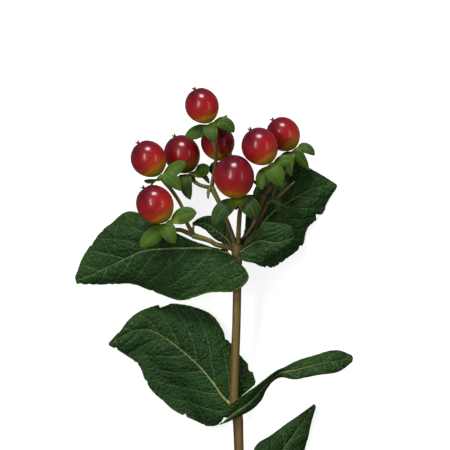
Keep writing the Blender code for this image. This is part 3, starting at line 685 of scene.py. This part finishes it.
def add_tube(shape, path, steps=TUBE_STEPS, sides=TUBE_SIDES, ridge=0.0):
    """Adds a closed tapering tube with softly rounded ends."""
    rings, distances, angles, heading = tube_points(path, steps, sides)
    if ridge:
        centre = rings.mean(axis=1, keepdims=True)
        oval = 1 + ridge * np.cos(2 * angles + OVAL_PHASE)[..., None]
        grain = 1 + 0.5 * ridge * np.sin(GRAIN_COUNT * angles + GRAIN_TWIST * distances)[..., None]
        rings = centre + (rings - centre) * oval * grain
    first = end_cap(rings[0], -heading[0])
    last = end_cap(rings[-1], heading[-1])
    rings = np.concatenate([first[None], rings, last[None]])
    distances = np.concatenate([distances[:1], distances, distances[-1:]])
    angles = np.concatenate([angles[:1], angles, angles[-1:]])
    ends = np.zeros(distances.shape)
    ends[0] = ends[-1] = 1.0
    stripe = np.abs(np.sin(angles + STRIPE_PHASE)) ** STRIPE_SHARPNESS
    young = (distances / max(distances.max(), 1e-6)) ** 2
    shape.add(rings, ring_faces(len(rings), sides), cut=ends, stripe=stripe, young=young)


def turned(axis):
    """Three unit directions, the last along the axis, as the model turns its round pieces."""
    turn = Vector(axis).to_track_quat("Z", "Y").to_matrix()
    return np.array(turn)


def berry_faces():
    """Faces of a ball with one point at each pole, and the points that they use."""
    index = np.arange((BERRY_RINGS + 1) * BERRY_SEGMENTS).reshape(BERRY_RINGS + 1, BERRY_SEGMENTS)
    faces = []
    for i in range(BERRY_RINGS):
        for j in range(BERRY_SEGMENTS):
            k = (j + 1) % BERRY_SEGMENTS
            if i == 0:
                faces.append((index[0, 0], index[1, k], index[1, j]))
            elif i == BERRY_RINGS - 1:
                faces.append((index[i, j], index[i, k], index[-1, 0]))
            else:
                faces.append((index[i, j], index[i, k], index[i + 1, k], index[i + 1, j]))
    used = np.unique(np.concatenate([np.array(face) for face in faces]))
    place = {int(old): new for new, old in enumerate(used)}
    return [tuple(place[int(i)] for i in face) for face in faces], used


def berry(number, material):
    """A glossy fruit in three soft lobes."""
    centre, direction, radius, half_length = BERRIES[number - 1]
    turn = turned(unit(np.array(direction)))
    polar = np.pi * np.arange(BERRY_RINGS + 1) / BERRY_RINGS
    angle = 2 * np.pi * np.arange(BERRY_SEGMENTS) / BERRY_SEGMENTS
    p, a = np.meshgrid(polar, angle, indexing="ij")
    height = -np.cos(p)
    girth = 1 - LOBE_DEPTH * (1 - np.cos(BERRY_LOBES * a))
    furrow = np.clip(0.5 - 0.5 * np.cos(BERRY_LOBES * a), 0, 1) ** FURROW_SHARPNESS
    near_tip = np.clip((height - FURROW_FROM) / FURROW_RUN, 0, 1) ** FURROW_GROWTH
    girth = girth - FURROW_DEPTH * furrow * np.sin(p) * (FURROW_LEAST + near_tip)
    x = np.sin(p) * np.cos(a) * radius * girth
    y = np.sin(p) * np.sin(a) * radius * girth
    z = height * half_length - FOOT_LENGTH * np.clip(-height, 0, None) ** FOOT_POWER
    z = z - TIP_DIMPLE * np.exp(-((1 - height) / TIP_DIMPLE_SIZE))
    local = np.stack([x, y, z], axis=-1)
    world = local @ turn.T + np.array(centre)
    waves = smooth_noise(world, SKIN_WAVE_SIZE, number)[..., None]
    world = world + unit(local @ turn.T) * SKIN_WAVE * waves
    faces, used = berry_faces()
    shape = Shape()
    shape.add(
        world.reshape(-1, 3)[used], faces,
        height=height.reshape(-1)[used],
        # Where the skin gets painted shade: the furrows, more so near the tip
        furrow=(furrow * near_tip).reshape(-1)[used],
        tone=BERRY_TONES[number - 1],
    )
    shape.build(f"berry_{number}_skin", f"berry_{number}", "berry", material)


def styles(number, material):
    """The three dried styles that stand on a berry's tip."""
    centre, direction, _, half_length = BERRIES[number - 1]
    axis = unit(np.array(direction))
    turn = turned(axis)
    tip = np.array(centre) + axis * (half_length - STYLE_SINK)
    shape = Shape()
    for i in range(STYLE_COUNT):
        angle = 2 * np.pi * i / STYLE_COUNT
        lean = turn @ np.array((math.cos(angle), math.sin(angle), 0.0))
        path = []
        for t in (0, 0.3, 0.65, 1):
            rise = axis * STYLE_LENGTH * t * STYLE_RISE
            place = tip + rise + lean * STYLE_SPREAD * STYLE_LENGTH * t**1.5
            radius = STYLE_ROOT_SWELL * (1 - t) ** 0.7 + STYLE_RADIUS + STYLE_KNOB * (t == 1)
            path.append((*place, radius))
        add_tube(shape, path, steps=STYLE_STEPS, sides=STYLE_SIDES)
    shape.build(f"berry_{number}_styles", f"berry_{number}", "berry", material)


def sepal_half_width(width, t):
    """Half the width of a sepal from root to blunt tip, where t goes from 0 to 1."""
    arch = np.sin(np.pi * (SEPAL_OUTLINE_START + SEPAL_OUTLINE_SPAN * t))
    half = width / 2 * arch**SEPAL_FULLNESS * (1 - SEPAL_TIP_LOSS * t**6)
    past = np.clip((t - SEPAL_ROUND_FROM) / (1 - SEPAL_ROUND_FROM), 0, 1)
    return half * np.sqrt(1 - SEPAL_ROUNDING * past**2)


def sepal_rise(half, t, s, seed):
    """Height of a sepal's arched, waved, ribbed and grooved face over its flat."""
    wave = SEPAL_WAVE * np.sin(SEPAL_WAVES * t + seed) * s * np.abs(s) * half / 2
    curl = -SEPAL_CURL * np.clip(t - SEPAL_CURL_FROM, 0, 1) ** 2 * (seed % 3 > 1)
    ridges = SEPAL_RIDGE * np.cos(s * SEPAL_RIDGES * np.pi) * (1 - np.abs(s))
    groove = -SEPAL_GROOVE * np.exp(-(s / SEPAL_GROOVE_WIDTH) ** 2)
    return SEPAL_ARCH * half * (1 - s**2) + wave + curl + ridges + groove


def add_sepal(shape, centre, axis, tip, width, tone, seed):
    """A blunt blade that leaves the receptacle sideways, bends back and turns its face up."""
    tip = np.array(tip)
    back = -np.dot(tip, axis)
    outward = tip + axis * back
    reach = np.linalg.norm(outward)
    outward = outward / reach
    side = np.cross(axis, outward)
    root = outward * SEPAL_ROOT_RADIUS
    turn = BEND_REACH + BEND_EXTRA * min(max(back, 0) / reach, 1)
    bend = outward * reach * turn - axis * BEND_DROP
    facing = SEPAL_TURN * min(max(1 + TURN_FADE * outward[2], 0), 1)
    t = 1 - (1 - np.linspace(0, 1, SEPAL_ROWS)[:, None]) ** SEPAL_CROWDING
    s = np.linspace(-1, 1, SEPAL_COLUMNS)[None, :]
    middle = root * (1 - t) ** 2 + bend * 2 * t * (1 - t) + tip * t**2
    along = unit((bend - root) * (1 - t) + (tip - bend) * t)
    level = unit(np.cross((0.0, 0.0, 1.0), along))
    share = facing * np.minimum((t + TURN_START) / TURN_DONE, 1)
    across = unit(side * (1 - share) + level * share)
    face = unit(np.cross(along, across))
    half = sepal_half_width(width, t)
    rise = sepal_rise(half, t, s, seed)
    upper = centre + middle[:, None, :] + across[:, None, :] * (half * s)[..., None]
    upper = upper + face[:, None, :] * (rise + SEPAL_THICKNESS / 2)[..., None]
    thickness = SEPAL_THICKNESS * (1 - SEPAL_EDGE_LOSS * np.abs(s) ** 3)
    lower = upper - face[:, None, :] * np.broadcast_to(thickness, rise.shape)[..., None]
    add_shell(shape, upper, lower, along=t, across=s, tone=tone)


def add_receptacle(shape, centre, axis, tone):
    """The small lobed cushion between a stalk and its berry."""
    polar = np.pi * (np.arange(RECEPTACLE_RINGS) + 0.5) / RECEPTACLE_RINGS
    angle = 2 * np.pi * np.arange(RECEPTACLE_SIDES) / RECEPTACLE_SIDES
    p, a = np.meshgrid(polar, angle, indexing="ij")
    lobes = 1 + RECEPTACLE_LOBE_DEPTH * np.cos(RECEPTACLE_LOBES * a)
    local = np.stack([
        np.sin(p) ** RECEPTACLE_ROUNDING * np.cos(a) * RECEPTACLE_RADIUS * lobes,
        np.sin(p) ** RECEPTACLE_ROUNDING * np.sin(a) * RECEPTACLE_RADIUS * lobes,
        -np.cos(p) * (RECEPTACLE_HEIGHT / 2 + RECEPTACLE_OVERLAP),
    ], axis=-1)
    faces = ring_faces(RECEPTACLE_RINGS, RECEPTACLE_SIDES)
    shape.add(local @ turned(axis).T + centre, faces, along=0.0, across=0.0, tone=tone, under=0.0)


def calyx(number, material):
    """The receptacle under a berry and its five sepals."""
    foot, axis = receptacle_foot(number)
    centre = foot - axis * (GAP + RECEPTACLE_HEIGHT / 2)
    tone = SEPAL_TONES[number - 1]
    shape = Shape()
    add_receptacle(shape, centre, axis, tone)
    for i, (tip, width) in enumerate(SEPALS[number - 1]):
        add_sepal(shape, centre, axis, tip, width, tone, number + i * SEPAL_SEED_STEP)
    shape.build(f"calyx_{number}_sepals", f"calyx_{number}", "sepal", material)


def main_stem(material):
    """The woody stem, from its cut end to the top joint."""
    shape = Shape()
    add_tube(shape, MAIN_STEM, ridge=STEM_RIDGE, sides=STEM_SIDES)
    shape.build("main_stem_bark", "main_stem", "bark", material)


def into_joint(path):
    """The path with one more point before it, inside the top joint."""
    x, _, z, radius = path[0]
    start = (x * JOINT_SHARE, JOINT_Y, JOINT_HEIGHT + (z - JOINT_HEIGHT) * JOINT_SHARE, radius)
    return [start, *path]


def branch(name, paths, material, slot):
    """A forked branch, run into the top joint and into each receptacle."""
    shape = Shape()
    for path in [into_joint(paths[0]), *paths[1:]]:
        add_tube(shape, path, ridge=BRANCH_RIDGE)
    shape.build(name + "_bark", name, slot, material)


def new_material(name, roughness, specular, coat=0.0):
    """A plain material with its tree and shader. The roughness holds where no noise drives it."""
    material = bpy.data.materials.new(name)
    material.use_nodes = True
    shader = material.node_tree.nodes["Principled BSDF"]
    shader.inputs["Roughness"].default_value = roughness
    shader.inputs["Specular IOR Level"].default_value = specular
    shader.inputs["Coat Weight"].default_value = coat
    shader.inputs["Coat Roughness"].default_value = COAT_ROUGHNESS
    return material, material.node_tree, shader


def value_of(tree, name):
    """A number that the mesh carries at each point."""
    node = tree.nodes.new("ShaderNodeAttribute")
    node.attribute_name = name
    return node.outputs["Fac"]


def maths(tree, operation, first, second=0.0):
    """One sum on two numbers or sockets."""
    node = tree.nodes.new("ShaderNodeMath")
    node.operation = operation
    for socket, value in zip(node.inputs, (first, second)):
        if isinstance(value, (int, float)):
            socket.default_value = value
        else:
            tree.links.new(value, socket)
    return node.outputs[0]


def object_noise(tree, scale, stretch=(1, 1, 1), detail=3.0, roughness=0.5):
    """Noise that sits still on the piece, with that many bumps to the metre."""
    place = tree.nodes.new("ShaderNodeTexCoord")
    mapping = tree.nodes.new("ShaderNodeMapping")
    mapping.inputs["Scale"].default_value = stretch
    texture = tree.nodes.new("ShaderNodeTexNoise")
    texture.inputs["Scale"].default_value = scale
    texture.inputs["Detail"].default_value = detail
    texture.inputs["Roughness"].default_value = roughness
    tree.links.new(place.outputs["Object"], mapping.inputs["Vector"])
    tree.links.new(mapping.outputs["Vector"], texture.inputs["Vector"])
    return texture.outputs["Fac"]


def object_cells(tree, scale):
    """Distance from the borders of a net of small cells."""
    place = tree.nodes.new("ShaderNodeTexCoord")
    texture = tree.nodes.new("ShaderNodeTexVoronoi")
    texture.feature = "DISTANCE_TO_EDGE"
    texture.inputs["Scale"].default_value = scale
    tree.links.new(place.outputs["Object"], texture.inputs["Vector"])
    return texture.outputs["Distance"]


def sepal_streaks(tree, along):
    """Noise drawn out from a sepal's root to its tip, another one for each calyx."""
    texture = tree.nodes.new("ShaderNodeTexNoise")
    texture.inputs["Scale"].default_value = 1.0
    texture.inputs["Detail"].default_value = 2.0
    place = tree.nodes.new("ShaderNodeCombineXYZ")
    tree.links.new(maths(tree, "MULTIPLY", value_of(tree, "across"), 11.0), place.inputs["X"])
    tree.links.new(maths(tree, "MULTIPLY", along, 2.2), place.inputs["Y"])
    tree.links.new(maths(tree, "MULTIPLY", value_of(tree, "tone"), 9.0), place.inputs["Z"])
    tree.links.new(place.outputs["Vector"], texture.inputs["Vector"])
    return texture.outputs["Fac"]


def ramp(tree, factor, stops):
    """A colour that runs through the stops, each a (position, colour)."""
    node = tree.nodes.new("ShaderNodeValToRGB")
    elements = node.color_ramp.elements
    while len(elements) < len(stops):
        elements.new(0.5)
    for element, (position, colour) in zip(elements, stops):
        element.position = position
        element.color = (*colour, 1.0)
    tree.links.new(factor, node.inputs["Fac"])
    return node.outputs["Color"]


def mix(tree, factor, first, second):
    """From the first colour to the second as the factor goes from 0 to 1."""
    node = tree.nodes.new("ShaderNodeMix")
    node.data_type = "RGBA"
    sockets = [s for s in node.inputs if s.name in ("A", "B") and s.type == "RGBA"]
    tree.links.new(factor, node.inputs["Factor"])
    for socket, value in zip(sockets, (first, second)):
        if isinstance(value, tuple):
            socket.default_value = (*value, 1.0)
        else:
            tree.links.new(value, socket)
    return next(s for s in node.outputs if s.type == "RGBA")


def tint(tree, base, factor, strength, colour):
    """The base colour with some of another laid over it."""
    return mix(tree, maths(tree, "MULTIPLY", factor, strength), base, colour)


def bump(tree, shader, height, distance, strength):
    """Fine relief that is drawn and not modelled."""
    node = tree.nodes.new("ShaderNodeBump")
    node.inputs["Distance"].default_value = distance
    node.inputs["Strength"].default_value = strength
    tree.links.new(height, node.inputs["Height"])
    tree.links.new(node.outputs["Normal"], shader.inputs["Normal"])


def range_of(tree, value, low, high, to_low=0.0, to_high=1.0):
    """A value from low to high, turned into one from to_low to to_high."""
    node = tree.nodes.new("ShaderNodeMapRange")
    tree.links.new(value, node.inputs["Value"])
    node.inputs["From Min"].default_value = low
    node.inputs["From Max"].default_value = high
    node.inputs["To Min"].default_value = to_low
    node.inputs["To Max"].default_value = to_high
    return node.outputs["Result"]


def finish_skin(tree, shader, colour, rough_from, smoothest, roughest):
    """Gives the shader its colour, and a roughness that follows a noise."""
    tree.links.new(colour, shader.inputs["Base Color"])
    rough = range_of(tree, rough_from, 0.3, 0.7, smoothest, roughest)
    tree.links.new(rough, shader.inputs["Roughness"])


def leaf_material():
    """Dark green skin with a fine net, paler veins, a thin light margin and a paler underside."""
    material, tree, shader = new_material("leaf_skin", 0.5, specular=0.13)
    patches = object_noise(tree, 48.0, detail=5.0, roughness=0.6)
    green = ramp(tree, patches, [(0.32, LEAF_DARK), (0.52, LEAF_MIDDLE), (0.74, LEAF_LIGHT)])
    green = mix(tree, value_of(tree, "tone"), green, LEAF_YOUNG)
    net = object_cells(tree, 600.0)
    green = tint(tree, green, range_of(tree, net, 0.0, 0.10, 1.0, 0.0), 0.42, LEAF_NET)
    # Side veins fade towards the edge
    thin = range_of(tree, value_of(tree, "across"), 0.4, 1.0, 0.5, 0.12)
    vein = range_of(tree, maths(tree, "ABSOLUTE", value_of(tree, "from_vein")), 0.06, 0.26, 1.0, 0.0)
    green = tint(tree, green, vein, thin, LEAF_VEIN)
    # The rib thins and fades towards the tip
    girth = range_of(tree, value_of(tree, "along"), 0.0, 1.0, 0.46, 0.14)
    rib = maths(tree, "DIVIDE", maths(tree, "ABSOLUTE", value_of(tree, "from_rib")), girth)
    rib = range_of(tree, rib, 0.55, 1.1, 1.0, 0.0)
    fade = range_of(tree, value_of(tree, "along"), 0.0, 0.85, 0.9, 0.22)
    green = tint(tree, green, rib, fade, LEAF_RIB)
    # The margin is pale in patches, and there are a few pale specks
    margin = range_of(tree, value_of(tree, "across"), 0.96, 1.0)
    worn = range_of(tree, object_noise(tree, 60.0, detail=2.0), 0.4, 0.6)
    green = tint(tree, green, maths(tree, "MULTIPLY", margin, worn), 0.8, LEAF_MARGIN)
    spots = range_of(tree, object_noise(tree, 700.0, detail=1.0), 0.70, 0.76)
    green = tint(tree, green, spots, 0.25, LEAF_MARGIN)
    pale = tint(tree, LEAF_UNDER, vein, 0.5, LEAF_VEIN)
    pale = tint(tree, pale, rib, 0.7, LEAF_RIB)
    colour = mix(tree, value_of(tree, "under"), green, pale)
    finish_skin(tree, shader, colour, object_noise(tree, 180.0), 0.42, 0.60)
    bump(tree, shader, range_of(tree, net, 0.0, 0.35), 0.0003, 0.9)
    return material


def berry_material():
    """Glossy crimson skin, green-gold at the foot and darker round the tip, with painted shade in the
    furrows.
    """
    material, tree, shader = new_material("berry_skin", 0.24, specular=0.22, coat=0.3)
    # The bands of colour along the berry have an uneven border
    uneven = range_of(tree, object_noise(tree, 120.0), 0.3, 0.7, -0.13, 0.13)
    height = maths(tree, "ADD", value_of(tree, "height"), uneven)
    colour = ramp(tree, range_of(tree, height, -1.0, 1.0), BERRY_STOPS)
    mottled = object_noise(tree, 420.0, detail=4.0, roughness=0.6)
    colour = tint(tree, colour, range_of(tree, mottled, 0.45, 0.75), 0.3, BERRY_DARK)
    # Painted shade: the furrows are darkened towards the tip, where shade falls in them
    colour = tint(tree, colour, value_of(tree, "furrow"), 0.75, BERRY_DARK)
    colour = mix(tree, value_of(tree, "tone"), colour, BERRY_DARK)
    finish_skin(tree, shader, colour, mottled, 0.20, 0.32)
    bump(tree, shader, mottled, 0.00003, 0.2)
    return material


def dried_material():
    """Dull dark brown of the dried styles."""
    material, tree, shader = new_material("dried_style", 0.7, specular=0.3)
    colour = ramp(tree, object_noise(tree, 900.0), [(0.3, DRIED_DARK), (0.7, DRIED_LIGHT)])
    tree.links.new(colour, shader.inputs["Base Color"])
    bump(tree, shader, object_noise(tree, 1500.0), 0.0001, 0.6)
    return material


def sepal_material():
    """Bright green with parallel streaks, yellow at the root, a pale rim and a paler back."""
    material, tree, shader = new_material("sepal_skin", 0.42, specular=0.12)
    along = value_of(tree, "along")
    patches = object_noise(tree, 160.0)
    green = ramp(tree, patches, [(0.3, SEPAL_DARK), (0.7, SEPAL_LIGHT)])
    green = mix(tree, value_of(tree, "tone"), green, SEPAL_SHADE)
    streaks = sepal_streaks(tree, along)
    green = tint(tree, green, range_of(tree, streaks, 0.42, 0.62), 0.28, SEPAL_STREAK)
    green = tint(tree, green, range_of(tree, along, 0.3, 0.0), 0.75, SEPAL_ROOT)
    sideways = maths(tree, "ABSOLUTE", value_of(tree, "across"))
    green = tint(tree, green, range_of(tree, sideways, 0.86, 0.98), 0.6, SEPAL_RIM)
    green = mix(tree, range_of(tree, sideways, 0.02, 0.09, 0.5, 0.0), green, SEPAL_RIM)
    colour = tint(tree, green, value_of(tree, "under"), 0.5, SEPAL_RIM)
    finish_skin(tree, shader, colour, patches, 0.36, 0.5)
    bump(tree, shader, streaks, 0.00015, 0.6)
    return material


def bark_material(name, dark, light, flushed, striped, greened):
    """Young bark: long streaks of two tones, ruddy patches and fine scars."""
    material, tree, shader = new_material(name, 0.45, specular=0.25)
    streaks = object_noise(tree, 260.0, stretch=(2.2, 0.16, 2.2), detail=4.0)
    colour = ramp(tree, streaks, [(0.35, dark), (0.62, light)])
    flush = range_of(tree, object_noise(tree, 38.0, stretch=(1, 0.6, 1)), 0.42, 0.62)
    colour = tint(tree, colour, flush, flushed, BARK_RUDDY)
    scars = range_of(tree, object_noise(tree, 1300.0, stretch=(1, 0.5, 1), detail=1.0), 0.64, 0.72)
    colour = tint(tree, colour, scars, 0.5, BARK_SCAR)
    colour = tint(tree, colour, value_of(tree, "stripe"), striped, BARK_STRIPE)
    colour = tint(tree, colour, value_of(tree, "young"), greened, YOUNG_STALK)
    colour = mix(tree, value_of(tree, "cut"), colour, CUT_WOOD)
    finish_skin(tree, shader, colour, streaks, 0.36, 0.56)
    bump(tree, shader, streaks, 0.00025, 0.7)
    return material


def lights():
    """Four soft boxes over the part, and a faint even light from all round."""
    for name, place, size, power, colour in LIGHTS:
        data = bpy.data.lights.new(name, "AREA")
        data.shape = "RECTANGLE"
        data.size, data.size_y = size
        data.energy = power
        data.color = colour
        lamp = bpy.data.objects.new(name, data)
        bpy.context.scene.collection.objects.link(lamp)
        lamp.location = place
        aim = Vector(LIGHT_AIM) - lamp.location
        lamp.rotation_euler = aim.to_track_quat("-Z", "Y").to_euler()
    world = bpy.data.worlds.new("studio")
    bpy.context.scene.world = world
    world.use_nodes = True
    world.node_tree.nodes["Background"].inputs["Color"].default_value = (*WHITE, 1.0)
    world.node_tree.nodes["Background"].inputs["Strength"].default_value = WORLD_STRENGTH


def floor():
    """A pale table, just under the part and near white in its own light."""
    bpy.ops.mesh.primitive_plane_add(size=FLOOR_SIZE, location=(0, 0, -FLOOR_DROP))
    plane = bpy.context.object
    plane.name = "table"
    material, _, shader = new_material("table_white", 0.9, specular=0.0)
    shader.inputs["Base Color"].default_value = (*FLOOR_COLOUR, 1.0)
    shader.inputs["Emission Color"].default_value = (*WHITE, 1.0)
    shader.inputs["Emission Strength"].default_value = FLOOR_GLOW
    plane.data.materials.append(material)
    # Kept out of the part's gloss and shade, as a lit table far below would be
    plane.visible_glossy = False
    plane.visible_diffuse = False


def camera():
    """A camera straight above, which just takes in the frame's width."""
    data = bpy.data.cameras.new("camera")
    data.sensor_width = SENSOR
    data.lens = SENSOR * CAMERA_DISTANCE / (FRAME_WIDTH * MM)
    data.clip_end = VIEW_END
    eye = bpy.data.objects.new("camera", data)
    bpy.context.scene.collection.objects.link(eye)
    x, y, _ = to_world((FRAME_CENTRE_X, FRAME_CENTRE_Y, 0.0))
    eye.location = (x, y, CAMERA_AIM_HEIGHT + CAMERA_DISTANCE)
    bpy.context.scene.camera = eye


def build():
    """Every piece in the model's order, then the stage."""
    barks = {slot: bark_material(*look) for slot, look in BARKS.items()}
    main_stem(barks["bark"])
    for name, (slot, paths) in BRANCHES.items():
        branch(name, paths, barks[slot], slot)
    red, dried, green = berry_material(), dried_material(), sepal_material()
    for number in range(1, len(BERRIES) + 1):
        berry(number, red)
        styles(number, dried)
        calyx(number, green)
    skin = leaf_material()
    for seed, (name, stations) in enumerate(LEAVES.items(), start=1):
        columns = BRACT_COLUMNS if name.endswith("bract") else LEAF_COLUMNS
        leaf(name, stations, columns, skin, LEAF_TONES.get(name, 0.0), seed)
    floor()
    lights()
    camera()
    bpy.context.scene.view_settings.view_transform = "Standard"


build()
